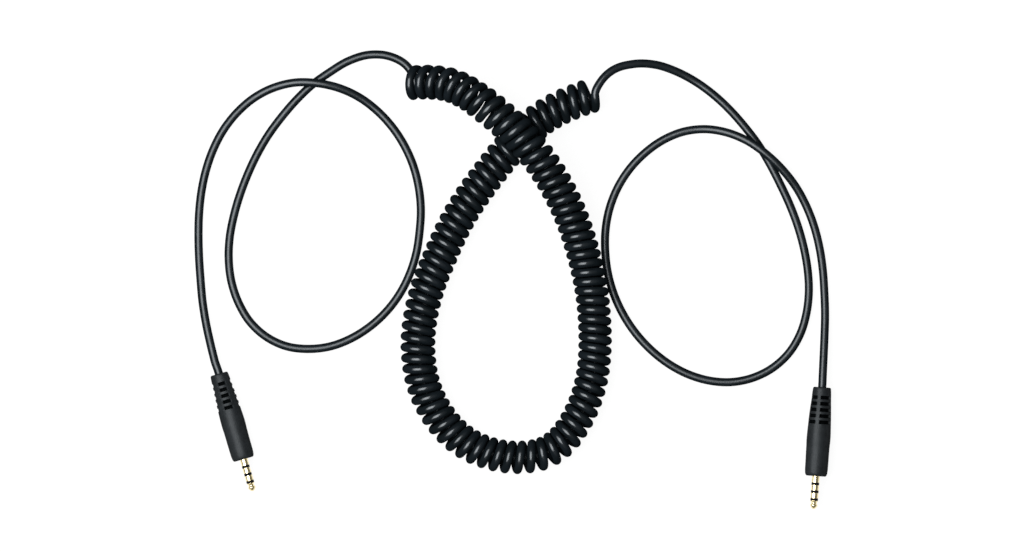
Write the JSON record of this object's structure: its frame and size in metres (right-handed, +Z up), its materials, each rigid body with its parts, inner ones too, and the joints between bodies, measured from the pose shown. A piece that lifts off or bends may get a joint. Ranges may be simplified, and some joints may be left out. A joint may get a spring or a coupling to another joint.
{
  "type": "coiled audio cable",
  "caption": "Coiled audio cord laid in a loop, with a gold stereo-and-microphone plug in a black strain-relieved handle on each straight lead.",
  "frame": {"origin": "centre of the cable's plan outline, on the surface it lies on", "axes": "+Z up, +X from the left plug towards the right plug, +Y from the plugs towards the coil's crossing"},
  "size_m": [0.2892, 0.2081, 0.0329],
  "materials": {
    "jacket": "glossy extruded black jacket",
    "moulding": "fine matte charcoal moulding",
    "gold_plating": "polished gold plating on brass",
    "contact_brass": "plain stamped brass",
    "black_insulator": "smooth black plastic",
    "inner_mould": "natural unpigmented plastic",
    "bare_copper": null,
    "green_insulation": "satin wire insulation",
    "red_insulation": "satin wire insulation",
    "white_insulation": "satin wire insulation"
  },
  "bodies": {
    "loop": {"coil_loop_01": "jacket", "coil_loop_02": "jacket", "coil_loop_03": "jacket", "coil_loop_04": "jacket", "coil_loop_05": "jacket", "coil_loop_06": "jacket", "coil_loop_07": "jacket", "coil_loop_08": "jacket", "coil_loop_09": "jacket", "coil_loop_10": "jacket", "coil_loop_11": "jacket", "coil_loop_12": "jacket"},
    "left_coil_1": {"coil_left_end_1": "jacket"},
    "left_coil_2": {"coil_left_end_2": "jacket"},
    "left_coil_3": {"coil_left_end_3": "jacket"},
    "left_coil_4": {"coil_left_end_4": "jacket"},
    "right_coil_1": {"coil_right_end_1": "jacket"},
    "right_coil_2": {"coil_right_end_2": "jacket"},
    "right_coil_3": {"coil_right_end_3": "jacket"},
    "left_lead": {"left_lead_loop": "jacket"},
    "left_tail": {"left_lead_tail": "jacket", "left_strain_relief": "moulding"},
    "left_plug": {"left_ground_clamp": "contact_brass", "left_ground_conductor": "bare_copper", "left_handle": "moulding", "left_inner_mould": "inner_mould", "left_ring_1_conductor": "red_insulation", "left_ring_1_contact": "gold_plating", "left_ring_1_insulator": "black_insulator", "left_ring_1_lug": "contact_brass", "left_ring_2_conductor": "green_insulation", "left_ring_2_contact": "gold_plating", "left_ring_2_insulator": "black_insulator", "left_ring_2_lug": "contact_brass", "left_sleeve_contact": "gold_plating", "left_tip_conductor": "white_insulation", "left_tip_contact": "gold_plating", "left_tip_insulator": "black_insulator", "left_tip_lug": "contact_brass"},
    "right_lead": {"right_lead_loop": "jacket"},
    "right_tail": {"right_lead_tail": "jacket", "right_strain_relief": "moulding"},
    "right_plug": {"right_ground_clamp": "contact_brass", "right_ground_conductor": "bare_copper", "right_handle": "moulding", "right_inner_mould": "inner_mould", "right_ring_1_conductor": "red_insulation", "right_ring_1_contact": "gold_plating", "right_ring_1_insulator": "black_insulator", "right_ring_1_lug": "contact_brass", "right_ring_2_conductor": "green_insulation", "right_ring_2_contact": "gold_plating", "right_ring_2_insulator": "black_insulator", "right_ring_2_lug": "contact_brass", "right_sleeve_contact": "gold_plating", "right_tip_conductor": "white_insulation", "right_tip_contact": "gold_plating", "right_tip_insulator": "black_insulator", "right_tip_lug": "contact_brass"}
  },
  "joints": [
    {"name": "left_coil_stretch_1", "type": "slide", "parent": "loop", "child": "left_coil_1", "axis": [-0.7375, 0.6753, 0], "range_m": [0, 0.017]},
    {"name": "left_coil_stretch_2", "type": "slide", "parent": "left_coil_1", "child": "left_coil_2", "axis": [-0.8008, 0.5989, 0], "range_m": [0, 0.017]},
    {"name": "left_coil_stretch_3", "type": "slide", "parent": "left_coil_2", "child": "left_coil_3", "axis": [-0.9111, 0.4123, 0], "range_m": [0, 0.017]},
    {"name": "left_coil_stretch_4", "type": "slide", "parent": "left_coil_3", "child": "left_coil_4", "axis": [-0.9997, 0.023, 0], "range_m": [0, 0.017]},
    {"name": "right_coil_stretch_1", "type": "slide", "parent": "loop", "child": "right_coil_1", "axis": [0.839, 0.5441, 0], "range_m": [0, 0.015]},
    {"name": "right_coil_stretch_2", "type": "slide", "parent": "right_coil_1", "child": "right_coil_2", "axis": [0.9097, 0.4152, 0], "range_m": [0, 0.015]},
    {"name": "right_coil_stretch_3", "type": "slide", "parent": "right_coil_2", "child": "right_coil_3", "axis": [0.9425, 0.3341, 0], "range_m": [0, 0.015]},
    {"name": "left_lead_swing", "type": "hinge", "parent": "left_coil_4", "child": "left_lead", "pos_m": [-0.05133, 0.09933, 0.0019], "axis": [0, 0, 1], "range_deg": [-12, 0]},
    {"name": "left_tail_swing", "type": "hinge", "parent": "left_lead", "child": "left_tail", "pos_m": [-0.12336, 0.07829, 0.0019], "axis": [0, 0, 1], "range_deg": [-20, 5]},
    {"name": "left_plug_flex", "type": "hinge", "parent": "left_tail", "child": "left_plug", "pos_m": [-0.13084, -0.05238, 0.0055], "axis": [0, 0, 1], "range_deg": [-25, 25]},
    {"name": "right_lead_swing", "type": "hinge", "parent": "right_coil_3", "child": "right_lead", "pos_m": [0.04212, 0.09296, 0.01346], "axis": [0, 0, -1], "range_deg": [-12, 0]},
    {"name": "right_tail_swing", "type": "hinge", "parent": "right_lead", "child": "right_tail", "pos_m": [0.13536, 0.02873, 0.0019], "axis": [0, 0, -1], "range_deg": [-20, 4]},
    {"name": "right_plug_flex", "type": "hinge", "parent": "right_tail", "child": "right_plug", "pos_m": [0.13977, -0.05892, 0.0055], "axis": [0, 0, 1], "range_deg": [-25, 25]}
  ],
  "couplings": [
    {"joint": "left_coil_stretch_2", "follows": "left_coil_stretch_1", "ratio": 1},
    {"joint": "left_coil_stretch_3", "follows": "left_coil_stretch_1", "ratio": 1},
    {"joint": "left_coil_stretch_4", "follows": "left_coil_stretch_1", "ratio": 1},
    {"joint": "right_coil_stretch_2", "follows": "right_coil_stretch_1", "ratio": 1},
    {"joint": "right_coil_stretch_3", "follows": "right_coil_stretch_1", "ratio": 1}
  ]
}
